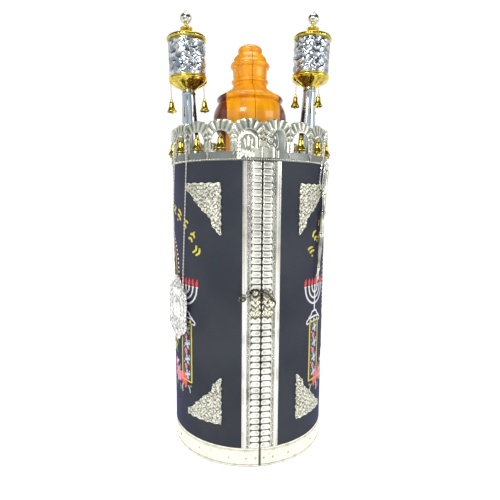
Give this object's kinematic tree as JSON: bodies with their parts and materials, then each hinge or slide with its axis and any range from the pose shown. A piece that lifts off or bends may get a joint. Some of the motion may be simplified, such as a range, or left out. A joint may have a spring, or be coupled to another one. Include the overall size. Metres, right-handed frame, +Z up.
{
  "type": "torah scroll case",
  "caption": "Tall round scroll case that opens as two hinged velvet-covered halves, with metal strips, an arched crown with bells, a turned wood dome, finials, a breastplate and a pointer.",
  "frame": {"origin": "on the underside, at the centre of the round case", "axes": "+Z up, the seam with the latch faces -Y, the hinges are at +Y, +X is the hinged half with the pointer"},
  "size_m": [0.3116, 0.3078, 0.8119],
  "materials": {
    "case_wood": "varnished inside",
    "velvet": "dark blue velvet pile with embroidery",
    "silver_sheet": "embossed silver-coloured sheet",
    "polished_metal": "polished",
    "gold_metal": "polished gold colour",
    "light_wood": "turned and varnished, honey coloured",
    "dark_wood": "turned and varnished, dark red-brown"
  },
  "bodies": {
    "left_half": {"left_case_wall": "case_wood", "left_case_floor": "case_wood", "left_case_top": "case_wood", "left_velvet": "velvet", "left_front_strip": "silver_sheet", "left_back_strip": "silver_sheet", "left_bottom_band": "silver_sheet", "left_crown": "silver_sheet", "left_dome_light_wood": "light_wood", "left_dome_dark_wood": "dark_wood", "left_upper_front_corner_plate": "silver_sheet", "left_lower_front_corner_plate": "silver_sheet", "left_upper_back_corner_plate": "silver_sheet", "left_lower_back_corner_plate": "silver_sheet", "left_latch_plate": "silver_sheet", "left_hinge_leaf_1": "polished_metal", "left_hinge_leaf_2": "polished_metal", "left_finial_stem": "polished_metal", "left_finial_cup": "gold_metal", "left_finial_drum": "silver_sheet", "left_finial_cap": "gold_metal", "left_finial_knob": "silver_sheet", "left_finial_bell_1": "gold_metal", "left_finial_bell_2": "gold_metal", "left_finial_bell_3": "gold_metal", "left_breastplate": "silver_sheet", "left_breastplate_chain": "silver_sheet"},
    "right_half": {"right_case_wall": "case_wood", "right_case_floor": "case_wood", "right_case_top": "case_wood", "right_velvet": "velvet", "right_front_strip": "silver_sheet", "right_back_strip": "silver_sheet", "right_bottom_band": "silver_sheet", "right_crown": "silver_sheet", "right_dome_light_wood": "light_wood", "right_dome_dark_wood": "dark_wood", "right_upper_front_corner_plate": "silver_sheet", "right_lower_front_corner_plate": "silver_sheet", "right_upper_back_corner_plate": "silver_sheet", "right_lower_back_corner_plate": "silver_sheet", "right_latch_plate": "silver_sheet", "right_hinge_leaf_1": "polished_metal", "right_hinge_leaf_2": "polished_metal", "right_finial_stem": "polished_metal", "right_finial_cup": "gold_metal", "right_finial_drum": "silver_sheet", "right_finial_cap": "gold_metal", "right_finial_knob": "silver_sheet", "right_finial_bell_1": "gold_metal", "right_finial_bell_2": "gold_metal", "right_finial_bell_3": "gold_metal", "right_pointer": "silver_sheet", "right_pointer_chain": "silver_sheet"},
    "latch_hook": {"latch_hook": "polished_metal"}
  },
  "joints": [
    {"name": "case_hinge", "type": "hinge", "parent": "left_half", "child": "right_half", "pos_m": [0, 0.1497, 0.26], "axis": [0, 0, 1], "range_deg": [0, 120]},
    {"name": "latch_pivot", "type": "hinge", "parent": "left_half", "child": "latch_hook", "pos_m": [-0.0114, -0.15, 0.307], "axis": [0, -1, 0], "range_deg": [0, 90]}
  ]
}
